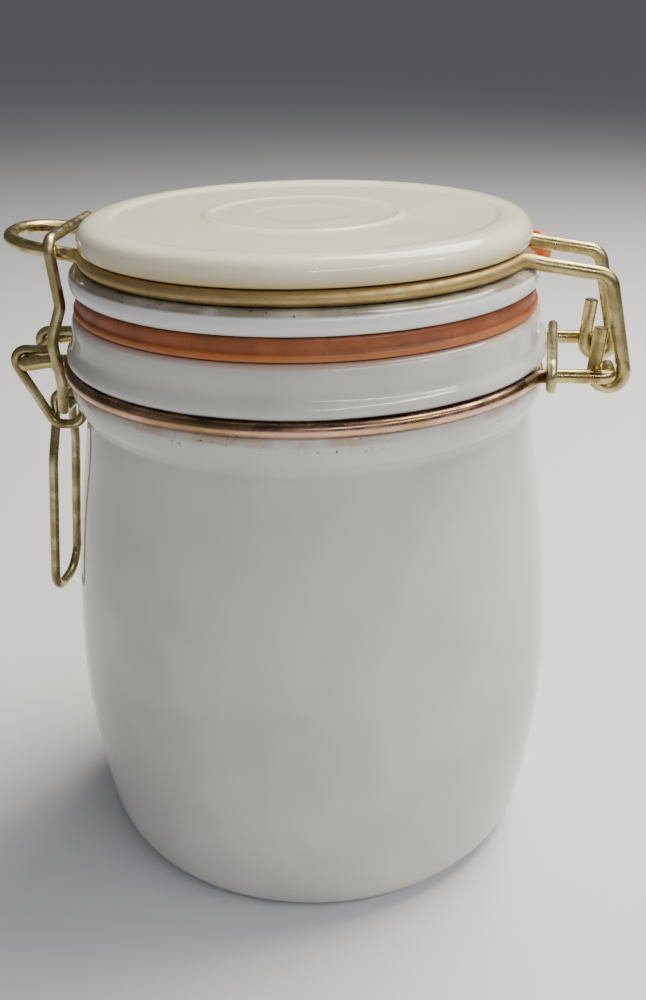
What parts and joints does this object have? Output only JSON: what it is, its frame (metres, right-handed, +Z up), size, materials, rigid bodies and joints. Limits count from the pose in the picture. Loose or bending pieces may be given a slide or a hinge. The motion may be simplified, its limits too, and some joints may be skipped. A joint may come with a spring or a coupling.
{
  "type": "lidded storage canister",
  "caption": "Round milk-glass storage canister with a hinged glass lid, rubber gasket and over-centre wire latch.",
  "frame": {"origin": "centre of the jar's foot ring, on the surface it stands on", "axes": "+Z up along the jar's axis, +X towards the lid hinge, -X towards the latch, +Y across"},
  "size_m": [0.1362, 0.1122, 0.1474],
  "materials": {
    "milk_glass": "opaque white pressed glass, glossy",
    "gasket_rubber": "aged orange-red rubber, dull",
    "bail_wire": "yellow-plated steel wire, tarnished",
    "latch_wire": "yellow-plated spring-steel wire, tarnished"
  },
  "bodies": {
    "jar_body": {"jar": "milk_glass", "neck_wire": "bail_wire", "neck_clamp_ring": "bail_wire"},
    "lid_body": {"lid": "milk_glass", "lid_wire": "bail_wire", "gasket": "gasket_rubber"},
    "lever_body": {"latch_lever": "latch_wire"},
    "link_body": {"latch_link": "latch_wire"}
  },
  "joints": [
    {"name": "lid_hinge", "type": "hinge", "parent": "jar_body", "child": "lid_body", "pos_m": [0.0652, 0, 0.1163], "axis": [0, 1, 0], "range_deg": [0, 210]},
    {"name": "lever_pivot", "type": "hinge", "parent": "jar_body", "child": "lever_body", "pos_m": [-0.0625, 0, 0.1152], "axis": [0, 1, 0], "range_deg": [0, 150], "deforming": ["latch_link"]},
    {"name": "link_pivot", "type": "hinge", "parent": "lever_body", "child": "link_body", "pos_m": [-0.0544, 0, 0.1047], "axis": [0, 1, 0], "range_deg": [-150, 0]}
  ],
  "couplings": [
    {"joint": "link_pivot", "follows": "lever_pivot", "ratio": -1}
  ]
}
